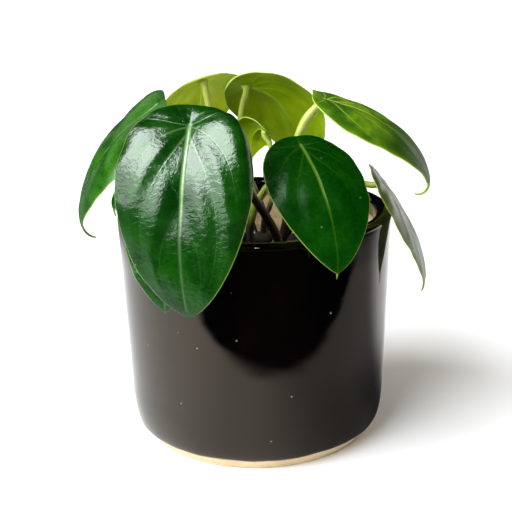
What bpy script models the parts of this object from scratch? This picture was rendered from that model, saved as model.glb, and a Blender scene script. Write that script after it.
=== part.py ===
"""Potted foliage plant: a glazed pot, its soil, and ten leaves on stalks.

Metres, +Z up. The origin is the centre of the pot's flat base, on the surface
that the pot stands on. The front of the plant faces -Y.
"""

import math

import bmesh
import bpy
import numpy as np
from mathutils import Vector

for old in list(bpy.data.objects):
    bpy.data.objects.remove(old, do_unlink=True)

CM = 0.01
GAP_CM = 0.03  # between pieces that touch

# ---------------------------------------------------------------- pot, in cm
POT_HEIGHT = 10.15
RIM_RADIUS = 6.0
INNER_RADIUS = 5.32
LIP_ROUND = 0.25
HEEL_RADIUS = 5.72  # where the side turns in to the base
HEEL_HEIGHT = 2.5
GLAZE_RADIUS = 5.41  # where the glaze stops
GLAZE_HEIGHT = 0.56
FOOT_RADIUS = 4.93
POT_FLOOR = 0.85
ROUND_STEPS = 56

# --------------------------------------------------------------- soil, in cm
SOIL_TOP = 7.65
SOIL_BOTTOM = POT_FLOOR + GAP_CM

# -------------------------------------------------- crown of the plant, in cm
CROWN_X = 0.35
CROWN_RADIUS = 0.51
CROWN_TOP = 9.0

# ------------------------------------------------------------- leaves, in cm
BLADE_THICKNESS = 0.09
BLADE_ROWS = 16
BLADE_COLUMNS = 8
TIP_HALF_WIDTH = 0.035

# Each leaf: the joint with its stalk, the heading of its midrib (degrees from
# +X towards +Y), the midrib's rise at the joint and how far it has bent at the
# tip, the curl of the last fifth, the midrib's turn, the roll of the blade and
# its twist, the length, the half width, the cupping across the blade at the
# base and at the tip, how far the lobes reach back behind the joint (a
# fraction of the length) and hang, the two powers that shape the outline
# towards the base and towards the tip, and the share of the length at which
# the drip tip begins (0.93 unless given).
LEAVES = {
    "front_left": dict(
        joint=(-2.36, -5.53, 14.96), heading=-97, rise=-31, bend=-80, ease=0.79,
        curl=-3, turn=-25, roll=5, twist=3, length=8.0, half=2.61,
        cup=(20, 16), lobe=0.13, hang=4, shape=(0.47, 0.67), reach=1.0),
    "front_right": dict(
        joint=(1.85, -3.91, 13.7), heading=-65, rise=-32, bend=-60, ease=1.38,
        curl=-17, turn=-1, roll=-1, twist=-7, length=5.98, half=2.08,
        cup=(20, 18), lobe=0.086, hang=4, shape=(0.476, 0.79), reach=0.96),
    "upper_right": dict(
        joint=(2.98, -0.3, 15.0), heading=-2, rise=-18, bend=-78, ease=1.8,
        curl=-119, turn=-2, roll=-6, twist=-3, length=7.3, half=2.36,
        cup=(30, 30), lobe=0.08, hang=8, shape=(0.475, 0.82)),
    "right": dict(
        joint=(5.53, -0.69, 11.34), heading=6, rise=-53, bend=-36, ease=1.33,
        curl=-28, turn=-24, roll=-10, twist=9, length=5.55, half=1.87,
        cup=(22, 26), lobe=0.155, hang=14, shape=(0.43, 0.79)),
    "far_left": dict(
        joint=(-4.0, 0.2, 14.8), heading=182, rise=-34, bend=-70, ease=1.64,
        curl=-74, turn=12, roll=22, twist=-22, length=7.7, half=2.3,
        cup=(30, 31), lobe=0.06, hang=18, shape=(0.49, 0.85)),
    "back_centre": dict(
        joint=(-0.25, 2.2, 15.25), heading=26, rise=-14, bend=-96, ease=1.0,
        curl=30, turn=0, roll=30, twist=-4, length=6.15, half=2.33,
        cup=(27, 25), lobe=0.16, hang=24, shape=(0.48, 0.83)),
    "back_left": dict(
        joint=(-2.2, 2.1, 15.5), heading=99, rise=-20, bend=-41, ease=0.8,
        curl=-10, turn=0, roll=14, twist=12, length=6.2, half=2.15,
        cup=(28, 21), lobe=0.10, hang=18, shape=(0.53, 0.73)),
    "young": dict(
        joint=(0.6, 0.6, 13.4), heading=116, rise=18, bend=-128, ease=0.9,
        curl=8, turn=2, roll=-52, twist=16, length=2.75, half=1.0,
        cup=(36, 30), lobe=0.11, hang=23, shape=(0.47, 0.92)),
    "lower_left": dict(
        joint=(-3.35, -4.2, 13.2), heading=-106, rise=-58, bend=-40, ease=1.17,
        curl=-18, turn=28, roll=-20, twist=-6, length=6.3, half=2.05,
        cup=(16, 15), lobe=0.10, hang=14, shape=(0.52, 0.76), reach=0.98),
    "side_left": dict(
        joint=(-3.3, -1.2, 13.45), heading=190, rise=-30, bend=-36, ease=1.34,
        curl=-62, turn=33, roll=-5, twist=-1, length=4.35, half=1.38,
        cup=(26, 24), lobe=0.08, hang=14, shape=(0.49, 0.76)),
}

# Each stalk: where it leaves the crown (degrees round it, and height), its
# radius at the crown and at the blade, and the points that its route bends by.
STALKS = {
    "front_left": (318, 8.0, 0.20, 0.16,
                   [(0.5, -1.4, 10.1), (-0.4, -2.9, 11.8), (-1.6, -4.6, 13.8)]),
    "front_right": (236, 8.0, 0.18, 0.15,
                    [(-0.2, -0.6, 9.7), (0.3, -1.2, 11.0), (1.2, -3.0, 12.5)]),
    "upper_right": (350, 8.55, 0.21, 0.19,
                    [(1.5, -0.2, 10.7), (1.73, -0.5, 12.7), (2.22, -0.5, 14.1)]),
    "right": (28, 8.0, 0.18, 0.14,
              [(2.1, 0.3, 9.6), (3.4, 0.0, 10.8), (4.4, -0.5, 11.3)]),
    "far_left": (155, 8.0, 0.18, 0.15,
                 [(-0.8, 0.3, 10.1), (-2.1, 0.4, 12.2), (-3.3, 0.1, 14.2)]),
    "back_centre": (80, 8.6, 0.17, 0.14,
                    [(0.3, 1.4, 9.9), (-0.5, 2.2, 11.6), (-0.62, 2.75, 13.4),
                     (-0.38, 2.6, 14.5)]),
    "back_left": (118, 8.6, 0.17, 0.14,
                  [(-0.5, 1.1, 10.1), (-1.4, 1.6, 12.4), (-2.0, 2.0, 14.4)]),
    "young": (None, 9.05, 0.13, 0.10,
              [(0.8, 0.1, 10.2), (0.8, 0.2, 11.7), (0.8, 0.5, 12.9)]),
    "lower_left": (200, 8.0, 0.17, 0.15,
                   [(-1.0, -0.9, 9.8), (-2.0, -2.4, 11.5), (-2.9, -3.7, 12.9)]),
    "side_left": (184, 8.6, 0.16, 0.13,
                  [(-0.9, -0.3, 10.5), (-2.1, -0.8, 12.4)]),
}

plant = bpy.data.collections.new("potted_philodendron")
bpy.context.scene.collection.children.link(plant)


def material(name, colour, roughness, metallic=0.0):
    made = bpy.data.materials.new(name)
    made.use_nodes = True
    shader = made.node_tree.nodes["Principled BSDF"]
    shader.inputs["Base Color"].default_value = (*colour, 1.0)
    shader.inputs["Roughness"].default_value = roughness
    shader.inputs["Metallic"].default_value = metallic
    made.diffuse_color = (*colour, 1.0)
    return made


GLAZE = material("black_glaze", (0.012, 0.010, 0.010), 0.08)
SOIL = material("dark_soil", (0.020, 0.014, 0.009), 0.95)
CROWN = material("plant_crown", (0.090, 0.080, 0.020), 0.60)
STALK = material("leaf_stalk", (0.380, 0.420, 0.110), 0.45)
UPPER = material("leaf_dark_green", (0.012, 0.110, 0.012), 0.22)
LIGHT = material("leaf_light_green", (0.130, 0.270, 0.015), 0.35)


def place(name, data, surface):
    made = bpy.data.objects.new(name, data)
    plant.objects.link(made)
    data.materials.append(surface)
    return made


# ------------------------------------------------------------- turned pieces
def arc(centre, radius, start, stop, steps):
    """Points on an arc in the XZ plane, from start to stop degrees."""
    cx, cz = centre
    rx, rz = radius if isinstance(radius, tuple) else (radius, radius)
    for i in range(steps + 1):
        a = math.radians(start + (stop - start) * i / steps)
        yield cx + rx * math.cos(a), cz + rz * math.sin(a)


def turned(name, profile, surface, steps=ROUND_STEPS):
    """A profile in centimetres, turned round the Z axis of its own object."""
    bm = bmesh.new()
    verts = [bm.verts.new((x * CM, 0.0, z * CM)) for x, z in profile]
    for a, b in zip(verts, verts[1:]):
        bm.edges.new((a, b))
    mesh = bpy.data.meshes.new(name)
    bm.to_mesh(mesh)
    bm.free()
    made = place(name, mesh, surface)
    screw = made.modifiers.new("turn", "SCREW")
    screw.axis = "Z"
    screw.angle = math.tau
    screw.steps = steps
    screw.render_steps = steps
    screw.use_merge_vertices = True
    screw.merge_threshold = 0.00001
    screw.use_smooth_shade = True
    return made


def inner_radius(z):
    """The inside wall leans in a little towards the floor."""
    return INNER_RADIUS - 0.30 * (POT_HEIGHT - z) / POT_HEIGHT


def pot_profile():
    points = [(0.0, POT_FLOOR)]
    points += arc((inner_radius(1.3) - 0.45, POT_FLOOR + 0.45), 0.45, -90, 0, 4)
    points += [(inner_radius(z), z) for z in (3.5, 6.0, 8.0, POT_HEIGHT - 0.7)]
    half = (RIM_RADIUS - INNER_RADIUS) / 2
    lip = (INNER_RADIUS + half, POT_HEIGHT - LIP_ROUND)
    points += arc(lip, (half, LIP_ROUND), 180, 0, 8)
    # the side tapers slightly, then turns in to the edge of the glaze
    for i in range(1, 5):
        t = i / 4
        points.append((RIM_RADIUS + (HEEL_RADIUS - RIM_RADIUS) * t,
                       POT_HEIGHT - LIP_ROUND
                       + (HEEL_HEIGHT - POT_HEIGHT + LIP_ROUND) * t))
    reach = (HEEL_RADIUS - GLAZE_RADIUS, HEEL_HEIGHT - GLAZE_HEIGHT)
    points += list(arc((GLAZE_RADIUS, HEEL_HEIGHT), reach, 0, -90, 6))[1:]
    points += [(GLAZE_RADIUS - 0.07, GLAZE_HEIGHT - 0.05), (FOOT_RADIUS + 0.08, 0.12),
               (FOOT_RADIUS, 0.0), (0.0, 0.0)]
    return points


turned("pot", pot_profile(), GLAZE)


def soil_profile():
    """Soil fills the pot and lies a little higher round the plant."""
    top = [(r, SOIL_TOP + 0.06 * math.cos(r * 1.9) - 0.06) for r in
           (1.6, 2.6, 3.6, 4.6)]
    wall = inner_radius(SOIL_TOP) - GAP_CM
    outer = [(wall, SOIL_TOP - 0.14), (inner_radius(4.5) - GAP_CM, 4.5),
             (inner_radius(1.5) - GAP_CM, 1.5),
             (inner_radius(1.3) - 0.30 - GAP_CM, SOIL_BOTTOM + 0.12),
             (inner_radius(1.3) - 0.50, SOIL_BOTTOM), (0.0, SOIL_BOTTOM)]
    return [(0.0, SOIL_TOP), (1.0, SOIL_TOP)] + top + outer


turned("potting_soil", soil_profile(), SOIL, steps=48)

crown_foot = SOIL_TOP + GAP_CM
crown = turned(
    "plant_crown",
    [(0.0, CROWN_TOP)]
    + list(arc((0.0, CROWN_TOP - 0.3), (CROWN_RADIUS, 0.3), 90, 0, 4))[1:]
    + [(CROWN_RADIUS, 8.2), (CROWN_RADIUS + 0.03, crown_foot + 0.1),
       (CROWN_RADIUS - 0.03, crown_foot), (0.0, crown_foot)],
    CROWN, steps=16)
crown.location = (CROWN_X * CM, 0.0, 0.0)


# -------------------------------------------------------------------- leaves
def directions(leaf, t, behind=0.0):
    """The midrib's direction and the blade's side and upward directions."""
    rise = (leaf["rise"] + leaf["bend"] * np.maximum(t, 0.0) ** leaf["ease"]
            + leaf["curl"] * np.clip((t - 0.8) / 0.2, 0.0, 1.2) ** 2
            + leaf["hang"] * np.clip(-t / leaf["lobe"], 0.0, 1.3))
    rise = np.radians(rise)
    heading = np.radians(leaf["heading"] + leaf["turn"] * np.maximum(t, 0.0) ** 1.3)
    flat = np.zeros_like(rise)
    along = np.stack([np.cos(rise) * np.cos(heading),
                      np.cos(rise) * np.sin(heading), np.sin(rise)], -1)
    side = np.stack([np.sin(heading), -np.cos(heading), flat], -1)
    up = np.cross(side, along)
    roll = np.radians(leaf["roll"] + leaf["twist"] * np.clip(t, 0.0, 1.0))[..., None]
    return (along, side * np.cos(roll) + up * np.sin(roll),
            up * np.cos(roll) - side * np.sin(roll))


def midrib(leaf, t):
    """Points on the midrib: t is 0 at the stalk's joint and 1 at the tip."""
    fine = np.linspace(-leaf["lobe"] - 0.02, 1.001, 160)
    step = directions(leaf, fine)[0] * leaf["length"]
    run = np.concatenate([np.zeros((1, 3)), np.cumsum(
        (step[1:] + step[:-1]) / 2 * np.diff(fine)[:, None], axis=0)])
    start = np.array([np.interp(0.0, fine, run[:, k]) for k in range(3)])
    run = run - start + np.array(leaf["joint"])
    return np.stack([np.interp(t, fine, run[:, k]) for k in range(3)], -1)


def blade_surface(leaf, u, v):
    """The blade's middle surface: u runs base to tip and v is -1 to 1 across."""
    p, q = leaf["shape"]
    crest = p / (p + q)
    end = leaf.get("reach", 0.93)  # where the drip tip begins
    body = (np.clip(u / end, 0.001, 1.0) ** p * np.clip(1 - u / end, 0.0, 1.0) ** q
            / (crest ** p * (1 - crest) ** q))
    width = np.sqrt(body ** 2 + 0.05 ** 2 * (1 - u)
                    + (TIP_HALF_WIDTH / leaf["half"]) ** 2)
    across = v * width * leaf["half"]
    notch = 0.02 * np.exp(-(across / (0.28 * leaf["half"])) ** 2) * (1 - u) ** 3
    t = -leaf["lobe"] + (1 + leaf["lobe"]) * u + notch
    centre = midrib(leaf, t)
    _, side, up = directions(leaf, t)
    cup = np.radians(leaf["cup"][0] + (leaf["cup"][1] - leaf["cup"][0]) * u)
    cup = cup * np.clip(width, 0.02, 1.2)
    radius = width * leaf["half"] / cup
    sideways = np.sign(v) * radius * np.sin(cup * np.abs(v))
    down = radius * (1 - np.cos(cup * np.abs(v)))
    return centre + sideways[..., None] * side - down[..., None] * up


def leaf_blade(name, leaf, surface):
    bm = bmesh.new()
    bmesh.ops.create_grid(bm, x_segments=BLADE_ROWS, y_segments=BLADE_COLUMNS, size=0.5)
    u = np.array([vert.co.x + 0.5 for vert in bm.verts])
    v = np.array([-2.0 * vert.co.y for vert in bm.verts])
    u = 0.55 * u + 0.45 * (1 - np.cos(np.pi * u)) / 2  # closer rows at both ends
    for vert, place_at in zip(bm.verts, blade_surface(leaf, u, v) * CM):
        vert.co = place_at
    mesh = bpy.data.meshes.new(name)
    bm.to_mesh(mesh)
    bm.free()
    mesh.shade_smooth()
    made = place(name, mesh, surface)
    thick = made.modifiers.new("thickness", "SOLIDIFY")
    thick.thickness = BLADE_THICKNESS * CM
    thick.offset = 0.0
    return made


# -------------------------------------------------------------------- stalks
def corner_cut(points, rounds=3):
    """A smooth route from the straight runs between its points."""
    for _ in range(rounds):
        cut = [points[0]]
        for a, b in zip(points, points[1:]):
            cut += [a * 0.75 + b * 0.25, a * 0.25 + b * 0.75]
        points = cut + [points[-1]]
    return points


def spaced(points, step=0.75, end=0.12):
    """Even points along a route, with a short straight piece at each end."""
    runs = [0.0]
    for a, b in zip(points, points[1:]):
        runs.append(runs[-1] + (b - a).length)
    total = runs[-1]
    count = max(4, round((total - 2 * end) / step))
    wanted = [0.0] + [end + (total - 2 * end) * i / count for i in range(count + 1)]
    wanted.append(total)
    found = []
    for want in wanted:
        i = min(max(k for k, run in enumerate(runs) if run <= want + 1e-9),
                len(points) - 2)
        share = (want - runs[i]) / (runs[i + 1] - runs[i])
        found.append(points[i].lerp(points[i + 1], share))
    return found


def leaf_stalk(name, leaf, stalk):
    angle, height, thick, thin, bends = stalk
    if angle is None:  # the youngest leaf grows from the middle of the crown
        start = Vector((CROWN_X + 0.05, 0.0, height))
        rise = Vector((0.0, 0.0, 0.6))
    else:
        a = math.radians(angle)
        start = Vector((CROWN_X + 0.72 * math.cos(a), 0.72 * math.sin(a), height))
        rise = Vector((0.35 * math.cos(a), 0.35 * math.sin(a), 0.6))
    up = Vector(directions(leaf, np.array([0.0]))[2][0])
    joint = Vector(leaf["joint"])
    under = BLADE_THICKNESS / 2 + GAP_CM + 0.01
    route = [start, start + rise] + [Vector(bend) for bend in bends]
    route += [joint - up * (under + 0.34), joint - up * under]
    points = spaced(corner_cut(route))
    curve = bpy.data.curves.new(name, "CURVE")
    curve.dimensions = "3D"
    curve.bevel_depth = thick * CM
    curve.bevel_resolution = 2
    curve.use_fill_caps = True
    spline = curve.splines.new("POLY")
    spline.points.add(len(points) - 1)
    for i, (at, point) in enumerate(zip(spline.points, points)):
        at.co = (*(point * CM), 1.0)
        share = min(1.0, 1.3 * i / (len(points) - 1))
        at.radius = 1.0 + (thin / thick - 1.0) * share
    return place(name, curve, STALK)


PALE_LEAVES = ("upper_right", "back_centre", "back_left", "young")
for where, leaf in LEAVES.items():
    leaf_blade("leaf_" + where, leaf, LIGHT if where in PALE_LEAVES else UPPER)
    leaf_stalk("stalk_" + where, leaf, STALKS[where])
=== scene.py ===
"""Looks of a potted foliage plant: glossy drooping leaves on long stalks, in a
black glazed pot. Metres, +Z up; the tables below are in centimetres.
"""

import math

import bpy
import numpy as np
from mathutils import Matrix, Vector, noise


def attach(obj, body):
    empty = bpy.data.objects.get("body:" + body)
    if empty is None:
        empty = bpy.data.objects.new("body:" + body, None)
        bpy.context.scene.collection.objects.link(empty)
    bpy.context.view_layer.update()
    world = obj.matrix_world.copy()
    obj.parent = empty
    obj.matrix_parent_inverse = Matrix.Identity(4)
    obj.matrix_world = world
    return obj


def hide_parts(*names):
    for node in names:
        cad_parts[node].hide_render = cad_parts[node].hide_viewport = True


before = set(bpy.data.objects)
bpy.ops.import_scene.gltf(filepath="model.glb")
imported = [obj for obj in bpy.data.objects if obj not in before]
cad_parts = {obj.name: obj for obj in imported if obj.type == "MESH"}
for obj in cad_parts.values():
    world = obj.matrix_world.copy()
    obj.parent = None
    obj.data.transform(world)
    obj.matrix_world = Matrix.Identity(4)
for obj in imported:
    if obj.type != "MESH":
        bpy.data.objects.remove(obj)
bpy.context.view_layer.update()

CM = 0.01

# ---------------------------------------------------------------- pot, in cm
POT_HEIGHT = 10.15
RIM_RADIUS = 6.0
INNER_RADIUS = 5.32
LIP_ROUND = 0.25
HEEL_RADIUS = 5.72
HEEL_HEIGHT = 2.5
GLAZE_RADIUS = 5.41
GLAZE_HEIGHT = 0.56
FOOT_RADIUS = 4.93
POT_FLOOR = 0.85
INNER_GLAZE = 9.42  # the glaze runs this far down inside
SOIL_TOP = 7.65
GAP_CM = 0.03
CROWN_X = 0.35
CROWN_RADIUS = 0.51
CROWN_TOP = 9.0

# ------------------------------------------------------------- leaves, in cm
BLADE_THICKNESS = 0.09
LEAVES = {
    "front_left": dict(
        joint=(-2.36, -5.53, 14.96), heading=-97, rise=-31, bend=-80, ease=0.79,
        curl=-3, turn=-25, roll=5, twist=3, length=8.0, half=2.61,
        cup=(20, 16), lobe=0.13, hang=4, shape=(0.47, 0.67), reach=1.0),
    "front_right": dict(
        joint=(1.85, -3.91, 13.7), heading=-65, rise=-32, bend=-60, ease=1.38,
        curl=-17, turn=-1, roll=-1, twist=-7, length=5.98, half=2.08,
        cup=(20, 18), lobe=0.086, hang=4, shape=(0.476, 0.79), reach=0.96),
    "upper_right": dict(
        joint=(2.98, -0.3, 15.0), heading=-2, rise=-18, bend=-78, ease=1.8,
        curl=-119, turn=-2, roll=-6, twist=-3, length=7.3, half=2.36,
        cup=(30, 30), lobe=0.08, hang=8, shape=(0.475, 0.82)),
    "right": dict(
        joint=(5.53, -0.69, 11.34), heading=6, rise=-53, bend=-36, ease=1.33,
        curl=-28, turn=-24, roll=-10, twist=9, length=5.55, half=1.87,
        cup=(22, 26), lobe=0.155, hang=14, shape=(0.43, 0.79)),
    "far_left": dict(
        joint=(-4.0, 0.2, 14.8), heading=182, rise=-34, bend=-70, ease=1.64,
        curl=-74, turn=12, roll=22, twist=-22, length=7.7, half=2.3,
        cup=(30, 31), lobe=0.06, hang=18, shape=(0.49, 0.85)),
    "back_centre": dict(
        joint=(-0.25, 2.2, 15.25), heading=26, rise=-14, bend=-96, ease=1.0,
        curl=30, turn=0, roll=30, twist=-4, length=6.15, half=2.33,
        cup=(27, 25), lobe=0.16, hang=24, shape=(0.48, 0.83)),
    "back_left": dict(
        joint=(-2.2, 2.1, 15.5), heading=99, rise=-20, bend=-41, ease=0.8,
        curl=-10, turn=0, roll=14, twist=12, length=6.2, half=2.15,
        cup=(28, 21), lobe=0.10, hang=18, shape=(0.53, 0.73)),
    "young": dict(
        joint=(0.6, 0.6, 13.4), heading=116, rise=18, bend=-128, ease=0.9,
        curl=8, turn=2, roll=-52, twist=16, length=2.75, half=1.0,
        cup=(36, 30), lobe=0.11, hang=23, shape=(0.47, 0.92)),
    "lower_left": dict(
        joint=(-3.35, -4.2, 13.2), heading=-106, rise=-58, bend=-40, ease=1.17,
        curl=-18, turn=28, roll=-20, twist=-6, length=6.3, half=2.05,
        cup=(16, 15), lobe=0.10, hang=14, shape=(0.52, 0.76), reach=0.98),
    "side_left": dict(
        joint=(-3.3, -1.2, 13.45), heading=190, rise=-30, bend=-36, ease=1.34,
        curl=-62, turn=33, roll=-5, twist=-1, length=4.35, half=1.38,
        cup=(26, 24), lobe=0.08, hang=14, shape=(0.49, 0.76)),
}

STALKS = {
    "front_left": (318, 8.0, 0.20, 0.16,
                   [(0.5, -1.4, 10.1), (-0.4, -2.9, 11.8), (-1.6, -4.6, 13.8)]),
    "front_right": (236, 8.0, 0.18, 0.15,
                    [(-0.2, -0.6, 9.7), (0.3, -1.2, 11.0), (1.2, -3.0, 12.5)]),
    "upper_right": (350, 8.55, 0.21, 0.19,
                    [(1.5, -0.2, 10.7), (1.73, -0.5, 12.7), (2.22, -0.5, 14.1)]),
    "right": (28, 8.0, 0.18, 0.14,
              [(2.1, 0.3, 9.6), (3.4, 0.0, 10.8), (4.4, -0.5, 11.3)]),
    "far_left": (155, 8.0, 0.18, 0.15,
                 [(-0.8, 0.3, 10.1), (-2.1, 0.4, 12.2), (-3.3, 0.1, 14.2)]),
    "back_centre": (80, 8.6, 0.17, 0.14,
                    [(0.3, 1.4, 9.9), (-0.5, 2.2, 11.6), (-0.62, 2.75, 13.4),
                     (-0.38, 2.6, 14.5)]),
    "back_left": (118, 8.6, 0.17, 0.14,
                  [(-0.5, 1.1, 10.1), (-1.4, 1.6, 12.4), (-2.0, 2.0, 14.4)]),
    "young": (None, 9.05, 0.13, 0.10,
              [(0.8, 0.1, 10.2), (0.8, 0.2, 11.7), (0.8, 0.5, 12.9)]),
    "lower_left": (200, 8.0, 0.17, 0.15,
                   [(-1.0, -0.9, 9.8), (-2.0, -2.4, 11.5), (-2.9, -3.7, 12.9)]),
    "side_left": (184, 8.6, 0.16, 0.13,
                  [(-0.9, -0.3, 10.5), (-2.1, -0.8, 12.4)]),
}


# ------------------------------------------------------------------- shaders
class Shader:
    """A material's node tree, with one short call for each kind of node."""

    def __init__(self, name):
        self.material = bpy.data.materials.new(name)
        self.material.use_nodes = True
        self.tree = self.material.node_tree
        self.tree.nodes.clear()
        self.output = self.tree.nodes.new("ShaderNodeOutputMaterial")

    def node(self, kind, **settings):
        made = self.tree.nodes.new(kind)
        for key, value in settings.items():
            setattr(made, key, value)
        return made

    def put(self, socket, value):
        if isinstance(value, bpy.types.NodeSocket):
            self.tree.links.new(value, socket)
        elif value is not None:
            socket.default_value = value

    def math(self, operation, a, b=None, clamp=False):
        made = self.node("ShaderNodeMath", operation=operation, use_clamp=clamp)
        self.put(made.inputs[0], a)
        self.put(made.inputs[1], b)
        return made.outputs[0]

    def vector(self, operation, a, b=None):
        made = self.node("ShaderNodeVectorMath", operation=operation)
        self.put(made.inputs[0], a)
        self.put(made.inputs[1], b)
        return made.outputs[0]

    def attribute(self, name, output="Fac"):
        made = self.node("ShaderNodeAttribute", attribute_name=name)
        return made.outputs[output]

    def place(self):
        return self.node("ShaderNodeTexCoord").outputs["Object"]

    def stretch(self, coords, scale):
        return self.vector("MULTIPLY", coords, scale)

    def noise(self, coords, scale, detail=2.0, roughness=0.5, distortion=0.0,
              output="Fac"):
        made = self.node("ShaderNodeTexNoise")
        self.put(made.inputs["Vector"], coords)
        made.inputs["Scale"].default_value = scale
        made.inputs["Detail"].default_value = detail
        made.inputs["Roughness"].default_value = roughness
        made.inputs["Distortion"].default_value = distortion
        return made.outputs[output]

    def voronoi(self, coords, scale, feature="F1", output="Distance"):
        made = self.node("ShaderNodeTexVoronoi", feature=feature)
        self.put(made.inputs["Vector"], coords)
        made.inputs["Scale"].default_value = scale
        return made.outputs[output]

    def spread(self, value, low, high, to_low=0.0, to_high=1.0, smooth=True):
        made = self.node("ShaderNodeMapRange", clamp=True)
        if smooth:
            made.interpolation_type = "SMOOTHSTEP"
        self.put(made.inputs["Value"], value)
        made.inputs["From Min"].default_value = low
        made.inputs["From Max"].default_value = high
        made.inputs["To Min"].default_value = to_low
        made.inputs["To Max"].default_value = to_high
        return made.outputs["Result"]

    def mix(self, share, a, b, blend="MIX"):
        made = self.node("ShaderNodeMix", data_type="RGBA", blend_type=blend)
        self.put(made.inputs[0], share)
        self.put(made.inputs[6], colour(a))
        self.put(made.inputs[7], colour(b))
        return made.outputs[2]

    def bump(self, height, distance, strength=1.0, normal=None):
        made = self.node("ShaderNodeBump")
        made.inputs["Strength"].default_value = strength
        made.inputs["Distance"].default_value = distance
        self.put(made.inputs["Height"], height)
        self.put(made.inputs["Normal"], normal)
        return made.outputs["Normal"]

    def principled(self, **inputs):
        made = self.node("ShaderNodeBsdfPrincipled")
        for key, value in inputs.items():
            self.put(made.inputs[key.replace("_", " ")], colour(value))
        return made

    def finish(self, shader):
        self.tree.links.new(shader, self.output.inputs["Surface"])
        return self.material


def colour(value):
    """A colour of three numbers as the four that a socket takes."""
    if isinstance(value, tuple) and len(value) == 3:
        return (*value, 1.0)
    return value


def leaf_material(name, dark, light, under, under_light, vein, edge,
                  ripple=1.0, glow=0.22, gloss=0.27, shine=0.5, veined=0.5,
                  rib=1.0, tip=None):
    """A leaf: glossy and veined above, paler and duller below, pale margin."""
    s = Shader(name)
    flat = s.attribute("flat", "Vector")
    side = s.attribute("side")
    rim = s.attribute("edge")
    apart = []
    for part in ("vein_a", "vein_b", "vein_c"):
        split = s.node("ShaderNodeSeparateXYZ")
        s.put(split.inputs[0], s.vector("ABSOLUTE", s.attribute(part, "Vector")))
        apart += list(split.outputs)
    nearest = apart[1]
    for out in apart[2:]:
        nearest = s.math("MINIMUM", nearest, out)
    strong = s.attribute("flow")  # 1 at the joint, less towards the ends
    main = s.math("MULTIPLY", s.spread(apart[0], 2.8 * rib, 0.45 * rib),
                  s.spread(strong, 0.0, 0.45, 0.14, 1.0))
    thin = s.math("MULTIPLY", s.spread(nearest, 2.2, 0.2),
                  s.spread(strong, 0.15, 0.9, 0.10, 0.75))
    line = s.math("MAXIMUM", main, s.math("MULTIPLY", thin, veined))
    halo = s.math("MULTIPLY", s.spread(s.math("MINIMUM", nearest, apart[0]), 6.0, 0.5),
                  strong)
    margin = s.spread(rim, 0.50, 0.22)
    rim_band = s.spread(rim, 2.6, 0.5)

    broad = s.noise(flat, 75.0, 3.0, 0.55)
    cells = s.noise(flat, 620.0, 3.0, 0.6)
    upper = s.mix(s.spread(broad, 0.36, 0.66), dark, light)
    if tip:
        upper = s.mix(s.spread(strong, 0.50, 0.04, 0.0, 0.9), upper,
                      s.mix(s.spread(broad, 0.50, 0.75, 0.0, 0.5), tip, dark))
    upper = s.mix(s.math("MULTIPLY", halo, 0.30), upper, light)
    upper = s.mix(s.math("MULTIPLY", rim_band, 0.35), upper, light)
    upper = s.mix(0.55, upper, s.mix(s.spread(cells, 0.3, 0.7), (0.55, 0.6, 0.5),
                                     (1.0, 1.0, 1.0)), "MULTIPLY")
    upper = s.mix(s.math("MULTIPLY", line, 0.85), upper, vein)

    lower = s.mix(s.spread(broad, 0.30, 0.72), under, under_light)
    lower = s.mix(0.45, lower, s.mix(s.spread(cells, 0.3, 0.7), (0.72, 0.76, 0.6),
                                     (1.0, 1.0, 1.0)), "MULTIPLY")
    lower = s.mix(s.math("MULTIPLY", halo, 0.25), lower, under_light)
    lower = s.mix(s.math("MULTIPLY", line, 0.35), lower, vein)

    tone = s.mix(side, lower, upper)
    # pale specks, few and small
    grain = s.node("ShaderNodeTexVoronoi")
    s.put(grain.inputs["Vector"], flat)
    grain.inputs["Scale"].default_value = 210.0
    pick = s.node("ShaderNodeSeparateColor")
    s.put(pick.inputs[0], grain.outputs["Color"])
    speck = s.math("MULTIPLY", s.spread(grain.outputs["Distance"], 0.085, 0.045),
                   s.spread(pick.outputs[0], 0.95, 0.96))
    tone = s.mix(s.math("MULTIPLY", speck, 0.45), tone, (0.24, 0.36, 0.16))
    tone = s.mix(s.math("MULTIPLY", margin, 0.85), tone, edge)

    # ripples between the veins, a fine skin texture, and veins pressed in above
    waves = s.noise(s.stretch(flat, (0.9, 1.1, 1.0)), 560.0, 2.5, 0.5, 0.4)
    skin = s.noise(flat, 1700.0, 2.0, 0.6)
    height = s.math("ADD", s.math("MULTIPLY", waves, 1.0),
                    s.math("MULTIPLY", skin, 0.28))
    pressed = s.math("MULTIPLY", line, s.spread(side, 0.0, 1.0, 1.2, -0.8))
    height = s.math("ADD", height, pressed)
    normal = s.bump(height, 0.00020 * ripple, 0.80)
    rough = s.math("ADD", s.spread(side, 0.0, 1.0, 0.50, gloss),
                   s.math("MULTIPLY", s.spread(cells, 0.35, 0.75), 0.07))
    rough = s.math("ADD", rough, s.spread(s.noise(flat, 150.0, 2.0, 0.5), 0.42, 0.66,
                                          0.0, 0.06))
    body = s.principled(Base_Color=tone, Roughness=rough, Normal=normal)
    body.inputs["Specular IOR Level"].default_value = shine
    through = s.node("ShaderNodeBsdfTranslucent")
    s.put(through.inputs["Color"], s.mix(0.5, tone, colour(under_light)))
    s.put(through.inputs["Normal"], normal)
    both = s.node("ShaderNodeMixShader")
    both.inputs[0].default_value = glow
    s.put(both.inputs[1], body.outputs[0])
    s.put(both.inputs[2], through.outputs[0])
    return s.finish(both.outputs[0])


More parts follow.
